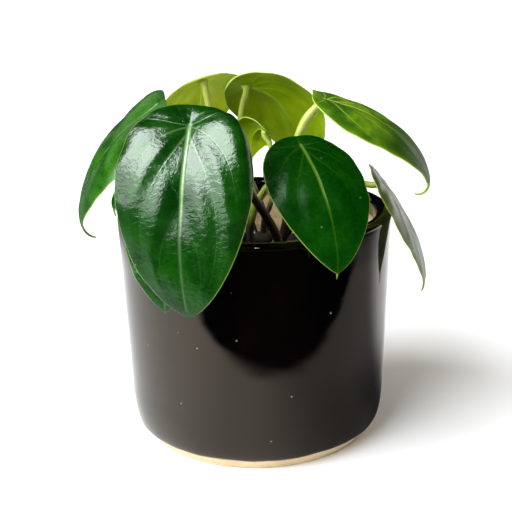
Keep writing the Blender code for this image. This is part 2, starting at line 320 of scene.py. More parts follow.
def stalk_material(name, pale, green, painted_shade_tone):
    s = Shader(name)
    run = s.attribute("run", "Vector")  # round, along in metres, share of length
    share = s.node("ShaderNodeSeparateXYZ")
    s.put(share.inputs[0], run)
    streaks = s.noise(s.stretch(run, (1.0, 0.10, 0.0)), 900.0, 3.0, 0.6)
    broad = s.noise(s.place(), 130.0, 3.0, 0.6)
    tone = s.mix(s.spread(broad, 0.32, 0.68), green, pale)
    tone = s.mix(s.spread(streaks, 0.42, 0.75, 0.0, 0.5), tone, pale)
    # painted shade: the stalk is darkened towards its base, where it stands in the pot's shade
    tone = s.mix(s.spread(share.outputs[2], 1.25, 0.75), tone, painted_shade_tone)
    freckle = s.voronoi(s.stretch(run, (1.0, 0.6, 0.0)), 800.0)
    tone = s.mix(s.spread(freckle, 0.22, 0.10, 0.0, 0.30), tone, (0.10, 0.09, 0.02))
    height = s.math("ADD", streaks, s.math("MULTIPLY", s.noise(s.place(), 1500.0), 0.4))
    body = s.principled(Base_Color=tone, Normal=s.bump(height, 0.00012, 0.6))
    s.put(body.inputs["Roughness"], s.spread(streaks, 0.3, 0.7, 0.34, 0.46))
    body.inputs["Specular IOR Level"].default_value = 0.25
    body.inputs["Subsurface Weight"].default_value = 0.25
    body.inputs["Subsurface Radius"].default_value = (0.9, 1.0, 0.25)
    body.inputs["Subsurface Scale"].default_value = 0.0012
    return s.finish(body.outputs[0])


def glaze_material():
    """Deep black glaze: near mirror, with pinholes and faint pooling."""
    s = Shader("black_glaze")
    here = s.place()
    drift = s.noise(s.stretch(here, (1.0, 1.0, 0.55)), 34.0, 3.0, 0.5)
    tone = s.mix(s.spread(drift, 0.35, 0.7), (0.0006, 0.0004, 0.0005),
                 (0.0018, 0.0012, 0.0009))
    cell = s.node("ShaderNodeTexVoronoi")
    s.put(cell.inputs["Vector"], here)
    cell.inputs["Scale"].default_value = 130.0
    pick = s.node("ShaderNodeSeparateColor")
    s.put(pick.inputs[0], cell.outputs["Color"])
    chosen = s.spread(pick.outputs[0], 0.545, 0.555)
    hole = s.math("MULTIPLY", s.spread(cell.outputs["Distance"], 0.060, 0.030), chosen)
    lip = s.math("MULTIPLY", s.spread(cell.outputs["Distance"], 0.10, 0.055), chosen)
    tone = s.mix(s.math("MULTIPLY", hole, 0.75), tone, (0.32, 0.27, 0.20))
    peel = s.noise(here, 210.0, 2.0, 0.5)
    height = s.math("SUBTRACT", s.math("MULTIPLY", peel, 0.16), lip)
    normal = s.bump(height, 0.00010, 0.35)
    rough = s.math("ADD", s.spread(s.noise(here, 420.0, 2.0), 0.3, 0.7, 0.025, 0.055),
                   s.math("MULTIPLY", hole, 0.4))
    body = s.principled(Base_Color=tone, Roughness=rough, Normal=normal)
    body.inputs["IOR"].default_value = 1.6
    # the warm specular tint paints warm light into everything the glaze mirrors
    body.inputs["Specular Tint"].default_value = (1.0, 0.85, 0.68, 1.0)
    return s.finish(body.outputs[0])


def clay_material():
    """Unglazed fired clay: sandy, speckled, turned on a wheel."""
    s = Shader("raw_clay")
    here = s.place()
    sand = s.noise(here, 900.0, 4.0, 0.65)
    broad = s.noise(here, 60.0, 3.0, 0.55)
    tone = s.mix(s.spread(broad, 0.3, 0.7), (0.55, 0.42, 0.25), (0.66, 0.53, 0.35))
    level = s.node("ShaderNodeSeparateXYZ")  # painted warm light: the inner wall is made warmer and brighter than the foot
    s.put(level.inputs[0], here)
    tone = s.mix(s.spread(level.outputs[2], 0.02, 0.05, 0.0, 0.75), tone,
                 (0.92, 0.66, 0.38))
    tone = s.mix(s.spread(sand, 0.35, 0.70, 0.0, 0.40), tone, (0.44, 0.30, 0.15))
    dots = s.voronoi(here, 700.0)
    tone = s.mix(s.spread(dots, 0.16, 0.08, 0.0, 0.55), tone, (0.22, 0.11, 0.045))
    turned = s.noise(s.stretch(here, (0.02, 0.02, 1.0)), 900.0, 2.0, 0.6)
    height = s.math("ADD", s.math("MULTIPLY", sand, 0.8), turned)
    body = s.principled(Base_Color=tone, Normal=s.bump(height, 0.00022, 0.7))
    s.put(body.inputs["Roughness"], s.spread(sand, 0.3, 0.7, 0.82, 0.95))
    body.inputs["Specular IOR Level"].default_value = 0.25
    return s.finish(body.outputs[0])


def soil_material():
    s = Shader("soil_and_painted_shade")
    here = s.place()
    clods = s.noise(here, 240.0, 4.0, 0.65)
    fine = s.noise(here, 1300.0, 3.0, 0.7)
    # the soil's own dark brown, made near black with painted shade from the pot's interior
    tone = s.mix(s.spread(clods, 0.35, 0.65), (0.006, 0.004, 0.003),
                 (0.022, 0.014, 0.008))
    tone = s.mix(s.spread(fine, 0.55, 0.78, 0.0, 0.55), tone, (0.060, 0.036, 0.020))
    kind = s.attribute("kind")  # 0 for soil, up to 1 for pieces of bark
    tone = s.mix(kind, tone, s.mix(s.spread(fine, 0.3, 0.7), (0.05, 0.026, 0.012),
                                   (0.15, 0.085, 0.040)))
    height = s.math("ADD", clods, s.math("MULTIPLY", fine, 0.5))
    body = s.principled(Base_Color=tone, Normal=s.bump(height, 0.0006, 0.8))
    s.put(body.inputs["Roughness"], s.spread(fine, 0.3, 0.7, 0.80, 0.97))
    body.inputs["Specular IOR Level"].default_value = 0.15
    return s.finish(body.outputs[0])


def crown_material():
    s = Shader("plant_stem")
    here = s.place()
    rings = s.noise(s.stretch(here, (0.2, 0.2, 1.0)), 620.0, 3.0, 0.6)
    broad = s.noise(here, 260.0, 3.0, 0.6)
    # the stem's own browns, made near black with painted shade, deep in the pot
    tone = s.mix(s.spread(broad, 0.35, 0.65), (0.012, 0.012, 0.005),
                 (0.034, 0.024, 0.011))
    tone = s.mix(s.spread(rings, 0.50, 0.72, 0.0, 0.7), tone, (0.030, 0.017, 0.008))
    height = s.math("ADD", rings, s.math("MULTIPLY", broad, 0.8))
    body = s.principled(Base_Color=tone, Roughness=0.72,
                        Normal=s.bump(height, 0.0004, 0.8))
    body.inputs["Specular IOR Level"].default_value = 0.15
    return s.finish(body.outputs[0])


PALE = (0.40, 0.45, 0.085)
LEAF_LOOKS = {
    "dark": leaf_material(
        "leaf_dark", (0.0004, 0.028, 0.0001), (0.0040, 0.055, 0.0006),
        (0.110, 0.190, 0.004), (0.200, 0.300, 0.010), (0.22, 0.36, 0.165),
        (0.22, 0.34, 0.05), ripple=1.5, glow=0.10, gloss=0.155, shine=0.30,
        veined=0.40, rib=0.85),
    "deep": leaf_material(
        "leaf_deep", (0.0003, 0.032, 0.0001), (0.0022, 0.050, 0.0003),
        (0.110, 0.190, 0.004), (0.200, 0.300, 0.010), (0.085, 0.180, 0.012),
        (0.20, 0.30, 0.04), ripple=0.7, glow=0.08, gloss=0.22, shine=0.07,
        veined=0.22, rib=0.75),
    "plain": leaf_material(
        "leaf_plain", (0.0040, 0.052, 0.0005), (0.0200, 0.105, 0.0018),
        (0.110, 0.190, 0.004), (0.200, 0.300, 0.010), (0.030, 0.110, 0.006),
        (0.16, 0.26, 0.03), ripple=0.7, glow=0.10, gloss=0.24, shine=0.20,
        veined=0.25, rib=0.6),
    "satin": leaf_material(
        "leaf_satin", (0.0380, 0.066, 0.0030), (0.0800, 0.125, 0.0080),
        (0.110, 0.190, 0.004), (0.200, 0.300, 0.010), (0.16, 0.24, 0.060),
        (0.26, 0.36, 0.05), ripple=0.45, glow=0.10, gloss=0.27, shine=0.45,
        veined=0.35, rib=0.7),
    "light": leaf_material(
        "leaf_light", (0.036, 0.140, 0.0002), (0.200, 0.380, 0.003),
        (0.250, 0.390, 0.0002), (0.400, 0.560, 0.004), (0.50, 0.66, 0.12),
        (0.55, 0.70, 0.14), ripple=1.0, glow=0.34, gloss=0.38, shine=0.17,
        veined=0.9, rib=0.7, tip=(0.012, 0.060, 0.0003)),
    # painted light: the light look again, with its underside, veins and margin made brighter
    # as if more strongly lit
    "painted_lit": leaf_material(
        "leaf_painted_lit", (0.036, 0.140, 0.0002), (0.200, 0.380, 0.003),
        (0.540, 0.670, 0.0002), (0.740, 0.850, 0.004), (0.74, 0.86, 0.12),
        (0.60, 0.74, 0.14), ripple=1.0, glow=0.38, gloss=0.38, shine=0.14,
        veined=0.8, rib=0.8),
}
LOOK_OF = {
    "front_left": "dark", "front_right": "deep", "upper_right": "light",
    "right": "satin", "far_left": "plain", "back_centre": "light",
    "back_left": "painted_lit", "young": "light", "lower_left": "dark",
    "side_left": "dark",
}
# the last colour is the painted shade at the stalks' bases
STALK_LOOK = stalk_material("leaf_stalk", PALE, (0.25, 0.32, 0.035),
                            (0.016, 0.009, 0.004))
GLAZE = glaze_material()
CLAY = clay_material()
SOIL = soil_material()
CROWN = crown_material()


# -------------------------------------------------------------------- meshes
def add_mesh(name, points, faces, materials, slots=None, values=None):
    """A smooth-shaded mesh from points in cm, with values at its points."""
    mesh = bpy.data.meshes.new(name)
    mesh.from_pydata((np.asarray(points, float) * CM).tolist(), [],
                     [list(map(int, face)) for face in faces])
    for surface in materials:
        mesh.materials.append(surface)
    if slots is not None:
        mesh.polygons.foreach_set("material_index", np.asarray(slots, np.int32))
    for key, data in (values or {}).items():
        data = np.asarray(data, np.float32)
        if data.ndim == 1:
            made = mesh.attributes.new(key, "FLOAT", "POINT")
            made.data.foreach_set("value", data)
        else:
            made = mesh.attributes.new(key, "FLOAT_VECTOR", "POINT")
            made.data.foreach_set("vector", data.ravel())
    mesh.shade_smooth()
    mesh.validate()
    mesh.update()
    made = bpy.data.objects.new(name, mesh)
    bpy.context.scene.collection.objects.link(made)
    return made


def fit_in(piece, node):
    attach(piece, "root")
    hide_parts(node)
    return piece


def grain(points, size, seed=0.0):
    """Smooth noise from -1 to 1 at points in cm, with features of that size."""
    return np.array([noise.noise(Vector(p) / size + Vector((seed, seed * 0.7, 3.1)))
                     for p in np.asarray(points, float).reshape(-1, 3)])


def rings_to_faces(rows, columns, closed=True, offset=0):
    """Quads between neighbouring rows of a grid; closed joins the last column."""
    faces = []
    for i in range(rows - 1):
        for j in range(columns if closed else columns - 1):
            k = (j + 1) % columns
            faces.append((offset + i * columns + j, offset + i * columns + k,
                          offset + (i + 1) * columns + k, offset + (i + 1) * columns + j))
    return faces


# -------------------------------------------------------------------- leaves
def directions(leaf, t):
    rise = (leaf["rise"] + leaf["bend"] * np.maximum(t, 0.0) ** leaf["ease"]
            + leaf["curl"] * np.clip((t - 0.8) / 0.2, 0.0, 1.2) ** 2
            + leaf["hang"] * np.clip(-t / leaf["lobe"], 0.0, 1.3))
    rise = np.radians(rise)
    heading = np.radians(leaf["heading"] + leaf["turn"] * np.maximum(t, 0.0) ** 1.3)
    flat = np.zeros_like(rise)
    along = np.stack([np.cos(rise) * np.cos(heading),
                      np.cos(rise) * np.sin(heading), np.sin(rise)], -1)
    side = np.stack([np.sin(heading), -np.cos(heading), flat], -1)
    up = np.cross(side, along)
    roll = np.radians(leaf["roll"] + leaf["twist"] * np.clip(t, 0.0, 1.0))[..., None]
    return (along, side * np.cos(roll) + up * np.sin(roll),
            up * np.cos(roll) - side * np.sin(roll))


def midrib(leaf, t):
    fine = np.linspace(-leaf["lobe"] - 0.02, 1.001, 900)
    step = directions(leaf, fine)[0] * leaf["length"]
    run = np.concatenate([np.zeros((1, 3)), np.cumsum(
        (step[1:] + step[:-1]) / 2 * np.diff(fine)[:, None], axis=0)])
    start = np.array([np.interp(0.0, fine, run[:, k]) for k in range(3)])
    run = run - start + np.array(leaf["joint"])
    return np.stack([np.interp(t, fine, run[:, k]) for k in range(3)], -1)


def smooth(x, low, high):
    t = np.clip((x - low) / (high - low), 0.0, 1.0)
    return t * t * (3 - 2 * t)


def outline(leaf, u):
    """The blade's half width along it, as a share of the greatest."""
    p, q = leaf["shape"]
    crest = p / (p + q)
    end = leaf.get("reach", 0.93)  # where the drip tip begins
    body = (np.clip(u / end, 0.0, 1.0) ** p * np.clip(1 - u / end, 0.0, 1.0) ** q
            / (crest ** p * (1 - crest) ** q))
    tip = (0.025 + 1.05 * (1 - end)) * np.clip((1 - u) / 0.16, 0.0, 1.0) ** 0.85
    return np.sqrt(body ** 2 + (tip * smooth(u, 0.45, 0.84)) ** 2)


# how deep and wide the valley along the midrib is, in cm on a 5.2 cm wide blade
VALLEY = {"front_left": (0.16, 0.66), "front_right": (0.07, 0.55),
          "young": (0.16, 0.60)}
DIMPLE = 0.05
# how much the blade swells between the veins, in cm on such a blade
PILLOW = {"front_left": 0.090}
# how much each half is swollen (left and right of the midrib, seen with the tip
# down): the height in cm, how near to the margin, and where along the blade
SWELL = {"front_left": ((0.16, 2.2, 0.46), (0.50, 6.0, 0.20)),
         "front_right": ((-0.03, 5.0, 0.45), (0.03, 3.0, 0.45))}


def swelling(where, u, v):
    height = np.zeros_like(u)
    s = np.abs(v)
    for half, (tall, sharp, at) in zip((v > 0, v < 0),
                                       SWELL.get(where, ((0.06, 3.0, 0.45),) * 2)):
        crest = (1 / (sharp + 1)) ** (1 / sharp) * (sharp / (sharp + 1))
        rise = tall * s * (1 - s ** sharp) / crest * np.exp(-((u - at) / 0.38) ** 2)
        height += np.where(half, rise, 0.0)
    return height * np.clip(u / 0.1, 0.0, 1.0) * np.clip((1 - u) / 0.15, 0.0, 1.0)


def travel(leaf, u, across):
    """Where the blade's rows lie along the midrib, with the notch at the base."""
    notch = 0.02 * np.exp(-(across / (0.28 * leaf["half"])) ** 2) * (1 - u) ** 3
    return -leaf["lobe"] + (1 + leaf["lobe"]) * u + notch


def blade_surface(leaf, u, v):
    width = outline(leaf, u)
    across = v * width * leaf["half"]
    t = travel(leaf, u, across)
    centre = midrib(leaf, t)
    _, side, up = directions(leaf, t)
    cup = np.radians(leaf["cup"][0] + (leaf["cup"][1] - leaf["cup"][0]) * u)
    cup = cup * np.clip(width, 0.02, 1.2)
    radius = width * leaf["half"] / cup
    sideways = radius * np.sin(cup * v)
    down = radius * (1 - np.cos(cup * v))
    return centre + sideways[..., None] * side - down[..., None] * up


def corner_cut(points, rounds=3):
    for _ in range(rounds):
        cut = [points[0]]
        for a, b in zip(points, points[1:]):
            cut += [a * 0.75 + b * 0.25, a * 0.25 + b * 0.75]
        points = cut + [points[-1]]
    return points


def vein_routes(leaf, rng):
    """The midrib and four pairs of side veins, each as (u, v) points and the
    half width in cm at its start and end."""
    u0 = leaf["lobe"] / (1 + leaf["lobe"])
    routes = [([(u0 - 0.004, 0), (0.3, 0), (0.6, 0), (0.965, 0)], 0.062, 0.028)]
    pairs = [
        ([(0, 0), (0.006, 0.30), (-0.010, 0.62), (-0.030, 0.90)], 0.026),
        ([(0.012, 0), (0.05, 0.24), (0.11, 0.47), (0.21, 0.70), (0.34, 0.84)], 0.030),
        ([(0.045, 0), (0.14, 0.16), (0.26, 0.36), (0.38, 0.52), (0.53, 0.65),
          (0.68, 0.73), (0.78, 0.76)], 0.034),
        ([(0.37, 0), (0.45, 0.14), (0.55, 0.33), (0.66, 0.48), (0.77, 0.56)], 0.024),
    ]
    for points, thick in pairs:
        for way in (1, -1):
            shift = rng.uniform(-0.02, 0.02) if points[0][0] > 0.2 else 0.0
            lean = rng.uniform(-0.035, 0.035)
            wide = rng.uniform(0.93, 1.05)
            routes.append(([(u0 + u + shift + lean * v, way * v * wide)
                            for u, v in points], thick * rng.uniform(0.85, 1.1),
                           0.006))
    return routes


def flat_place(leaf, u, v):
    """Where a point of the blade lies if the blade is laid flat, in cm."""
    across = v * outline(leaf, u) * leaf["half"]
    return np.stack([across, travel(leaf, u, across) * leaf["length"]], -1)


def to_route(places, route, wide, thin):
    """Signed distance from each flat place to a vein, in cm, and the vein's
    half width there."""
    a, b = route[:-1], route[1:]
    run = b - a
    length = np.linalg.norm(run, axis=1)
    reach = np.concatenate([[0.0], np.cumsum(length)])
    rel = places[:, None, :] - a[None]
    share = np.clip((rel * run).sum(-1) / (length ** 2), 0.0, 1.0)
    off = rel - share[..., None] * run
    far = np.linalg.norm(off, axis=-1)
    best = far.argmin(1)
    pick = np.arange(len(places))
    sign = np.sign(run[best, 0] * rel[pick, best, 1] - run[best, 1] * rel[pick, best, 0])
    at = (reach[best] + share[pick, best] * length[best]) / reach[-1]
    return sign * far[pick, best], wide + (thin - wide) * at


def leaf_blade(where, rows=150):
    leaf = LEAVES[where]
    rng = np.random.default_rng(sum(map(ord, where)))
    seed = float(rng.uniform(0, 50))
    half, length = leaf["half"], leaf["length"]
    middle = [0.0, 0.012, 0.026, 0.045, 0.070, 0.10]
    centre = list(np.linspace(0.14, 0.88, 20))
    margin = [0.915, 0.942, 0.962, 0.977, 0.988, 0.995, 1.0]
    one = np.array(middle + centre + margin)
    v = np.concatenate([-one[:0:-1], one])
    s = np.linspace(0.0, 1.0, rows)
    u = np.clip((1 - np.cos(np.pi * s)) / 2, 6e-5, 1 - 2e-5)
    V, U = np.meshgrid(v, u)
    nu, nv = U.shape
    U, V = U.ravel(), V.ravel()

    e = 2e-4
    base = blade_surface(leaf, U, V)
    du = (blade_surface(leaf, np.minimum(U + e, 1.0), V)
          - blade_surface(leaf, np.maximum(U - e, 0.0), V))
    dv = (blade_surface(leaf, U, np.minimum(V + 1e-3, 1.0))
          - blade_surface(leaf, U, np.maximum(V - 1e-3, -1.0)))
    normal = np.cross(dv, du)
    normal /= np.maximum(np.linalg.norm(normal, axis=1), 1e-12)[:, None]
    up = directions(leaf, travel(leaf, U, V * 0))[2]
    normal *= np.sign((normal * up).sum(1))[:, None]
    # at the very ends the rows are too short to give a direction
    ends = (U < 4e-4) | (U > 1 - 4e-4)
    normal[ends] = up[ends]

    places = flat_place(leaf, U, V)
    X, Y = places[:, 0], places[:, 1]
    width = outline(leaf, U) * half
    to_edge = np.minimum((1 - np.abs(V)) * width,
                         np.minimum(U * length * (1 + 4 * U), (1 - U) * length * 0.4)
                         + 0.0)
    gap = (1 - np.abs(V)) * width

    # veins
    near = np.full(len(X), 9.0)
    veins = []
    for points, wide, thin in vein_routes(leaf, rng):
        line = corner_cut([flat_place(leaf, np.array(a), np.array(b))
                           for a, b in points], 3)
        scale = (half / 2.6) ** 0.5
        far, thick = to_route(places, np.array(line), wide * scale, thin * scale)
        veins.append(far / thick)
        if len(veins) > 1:
            near = np.minimum(near, np.abs(far))
    fade = smooth(U, 0.0, 0.10) * np.clip((1 - U) / 0.5, 0.0, 1.0) ** 0.6

    # form: a valley along the midrib, swelling between the veins, slow waves
    size = half / 2.6
    flat3 = np.stack([X, Y, X * 0], -1)
    deep, wide = VALLEY.get(where, (0.125, 0.52))
    form = -deep * size * np.exp(-(X / (wide * size)) ** 2) * fade
    form += PILLOW.get(where, 0.050) * size * (1 - np.exp(-(near / (0.38 * size)) ** 2)) * fade
    form += swelling(where, U, V) * size
    form += 0.045 * size * grain(flat3, 1.9, seed) * smooth(U, 0.0, 0.06)
    form += 0.010 * grain(flat3, 0.55, seed + 9)
    form += 0.0032 * grain(flat3, 0.20, seed + 17)
    wave = np.sin(Y * 2.1 / size + seed) + 0.6 * np.sin(Y * 4.7 / size + 2.2 * seed)
    form += 0.028 * size * wave * np.abs(V) ** 7 * smooth(U, 0.02, 0.15)
    dimple = np.hypot(X, Y - 0.02)
    form -= DIMPLE * size * np.exp(-(dimple / (0.24 * size)) ** 2)

    thick = (0.050 + 0.040 * np.exp(-(X / (0.7 * size)) ** 2)) * (0.75 + 0.25 * size)
    ends_gap = np.minimum(U, 1 - U) * length * 8
    inset = np.minimum(gap, ends_gap)
    roundness = np.sqrt(1 - (1 - np.clip(inset / 0.042, 0.0, 1.0)) ** 2)
    thick = thick * roundness
    rib = np.exp(-(X / (0.072 * size)) ** 2) * smooth(Y, -0.12, 0.10) * np.clip(
        (1 - U) / 0.75, 0.0, 1.0) ** 0.6
    groove = -0.014 * rib
    ridge = 0.062 * size * rib + 0.011 * size * np.exp(
        -(near / (0.055 * size)) ** 2) * smooth(U, 0.0, 0.05)
    ridge *= roundness

    top = base + normal * (form + groove * roundness + thick / 2)[:, None]
    under = base + normal * (form - ridge - thick / 2)[:, None]
    shared = base + normal * form[:, None]

    index = np.arange(nu * nv).reshape(nu, nv)
    rim = np.zeros((nu, nv), bool)
    rim[0], rim[-1], rim[:, 0], rim[:, -1] = True, True, True, True
    rim = rim.ravel()
    top[rim] = shared[rim]
    lower_index = np.where(rim, index.ravel(), -1)
    inner = np.flatnonzero(~rim)
    lower_index[inner] = nu * nv + np.arange(len(inner))
    lower_index = lower_index.reshape(nu, nv)
    points = np.concatenate([top, under[inner]])
    faces = []
    for grid, flip in ((index, False), (lower_index, True)):
        a, b, c, d = grid[:-1, :-1], grid[:-1, 1:], grid[1:, 1:], grid[1:, :-1]
        quads = np.stack([a, b, c, d], -1).reshape(-1, 4)
        faces.append(quads[:, ::-1] if flip else quads)
    faces = np.concatenate(faces)
    # the upper faces look along the blade's normal
    p, q, r = (points[faces[len(faces) // 4, k]] for k in (0, 1, 2))
    if np.cross(q - p, r - q) @ normal[faces[len(faces) // 4, 0]] < 0:
        faces = faces[:, ::-1]
    side = np.concatenate([np.where(rim, 0.5, 1.0), np.zeros(len(inner))])

    def both(data):
        return np.concatenate([data, data[inner]])

    flat = np.stack([X * CM + seed, Y * CM, 0 * X], -1)
    values = {
        "flat": np.concatenate([flat, flat[inner] + [0.3, 0.2, 0.0]]),
        "side": side,
        "edge": both(gap * 10),
        "flow": both(np.exp(-(np.hypot(X, Y) / (0.40 * length)) ** 2)),
        "vein_a": both(np.stack(veins[0:3], -1)),
        "vein_b": both(np.stack(veins[3:6], -1)),
        "vein_c": both(np.stack(veins[6:9], -1)),
    }
    look = LOOK_OF[where]
    piece = add_mesh("blade_" + where, points, faces, [LEAF_LOOKS[look]],
                     values=values)
    return fit_in(piece, "leaf_" + where)


# -------------------------------------------------------------------- stalks
def resampled(points, step):
    points = np.array(points)
    length = np.linalg.norm(np.diff(points, axis=0), axis=1)
    run = np.concatenate([[0.0], np.cumsum(length)])
    count = max(12, int(run[-1] / step))
    at = np.linspace(0.0, run[-1], count + 1)
    return np.stack([np.interp(at, run, points[:, k]) for k in range(3)], -1), at


# how far up each stalk is darkened with painted shade, as a share of its length
SHADED_SHARE = {"front_left": 0.62, "front_right": 0.30, "right": 0.30, "young": 0.34,
         "back_left": 0.40, "back_centre": 0.36, "upper_right": 0.34}


def leaf_stalk(where, sides=20):
    leaf = LEAVES[where]
    angle, height, thick, thin, bends = STALKS[where]
    if angle is None:
        start = Vector((CROWN_X + 0.05, 0.0, height))
        root = start - Vector((0.0, 0.0, 0.18))
        rise = Vector((0.0, 0.0, 0.6))
    else:
        a = math.radians(angle)
        out = Vector((math.cos(a), math.sin(a), 0.0))
        start = Vector((CROWN_X, 0.0, height)) + out * 0.72
        root = Vector((CROWN_X, 0.0, height - 0.12)) + out * 0.40
        rise = out * 0.35 + Vector((0.0, 0.0, 0.6))
    up = Vector(directions(leaf, np.array([0.0]))[2][0])
    joint = Vector(leaf["joint"])
    under = BLADE_THICKNESS / 2 + GAP_CM + 0.01
    route = [start, start + rise] + [Vector(bend) for bend in bends]
    size = leaf["half"] / 2.6
    dip = (VALLEY.get(where, (0.125, 0.52))[0] * 0.75 + DIMPLE) * size
    route += [joint - up * (under + dip + 0.30 * max(size, 0.6)),
              joint - up * (dip + 0.06)]
    smooth_route = [root] + corner_cut(route, 5) + [joint - up * (dip + 0.03)]
    line, at = resampled([tuple(p) for p in smooth_route], 0.11)
    for _ in range(4):  # round the corner at the root
        line[1:-1] = (line[:-2] + 2 * line[1:-1] + line[2:]) / 4
    total = at[-1]
    tangent = np.gradient(line, axis=0)
    tangent /= np.linalg.norm(tangent, axis=1)[:, None]
    across = np.cross(tangent[0], (0.3, -0.9, 0.2))
    frames = []
    for way in tangent:
        across = across - way * (across @ way)
        across /= np.linalg.norm(across)
        frames.append((across.copy(), np.cross(way, across)))
    share = at / total
    radius = thick + (thin - thick) * np.clip(1.3 * share, 0.0, 1.0)
    radius = radius * (1 + 0.30 * np.exp(-at / 0.30))
    radius = radius * (1 + 0.75 * np.exp(-(total - at) / 0.085)
                       + 0.12 * np.exp(-(total - at) / 0.35))
    seed = sum(map(ord, where)) * 0.13
    lumps = 1 + 0.035 * grain(line, 0.7, seed)
    points, runs = [], []
    for i, (centre, (one, two)) in enumerate(zip(line, frames)):
        for k in range(sides):
            turn = math.tau * k / sides
            groove = 1 - 0.10 * math.exp(-((math.sin(turn / 2)) / 0.28) ** 2)
            ribs = 1 + 0.012 * math.cos(5 * turn + 3 * share[i])
            r = radius[i] * lumps[i] * groove * ribs
            points.append(centre + r * (math.cos(turn) * one + math.sin(turn) * two))
            runs.append((abs(turn - math.pi) * radius[i] * CM, at[i] * CM,
                         share[i] / SHADED_SHARE.get(where, 0.20)))
    rows = len(line)
    faces = rings_to_faces(rows, sides)
    points += [line[0], line[-1]]
    runs += [(0.0, 0.0, 0.0), (0.0, total * CM, 9.0)]
    first, last = rows * sides, rows * sides + 1
    for k in range(sides):
        faces.append((first, (k + 1) % sides, k))
        faces.append((last, (rows - 1) * sides + k, (rows - 1) * sides + (k + 1) % sides))
    piece = add_mesh("petiole_" + where, points, faces, [STALK_LOOK],
                     values={"run": runs})
    return fit_in(piece, "stalk_" + where)


# ----------------------------------------------------------------------- pot
def arc(centre, radius, start, stop, steps):
    cx, cz = centre
    rx, rz = radius if isinstance(radius, tuple) else (radius, radius)
    for i in range(steps + 1):
        a = math.radians(start + (stop - start) * i / steps)
        yield cx + rx * math.cos(a), cz + rz * math.sin(a)


def inner_radius(z):
    return INNER_RADIUS - 0.30 * (POT_HEIGHT - z) / POT_HEIGHT


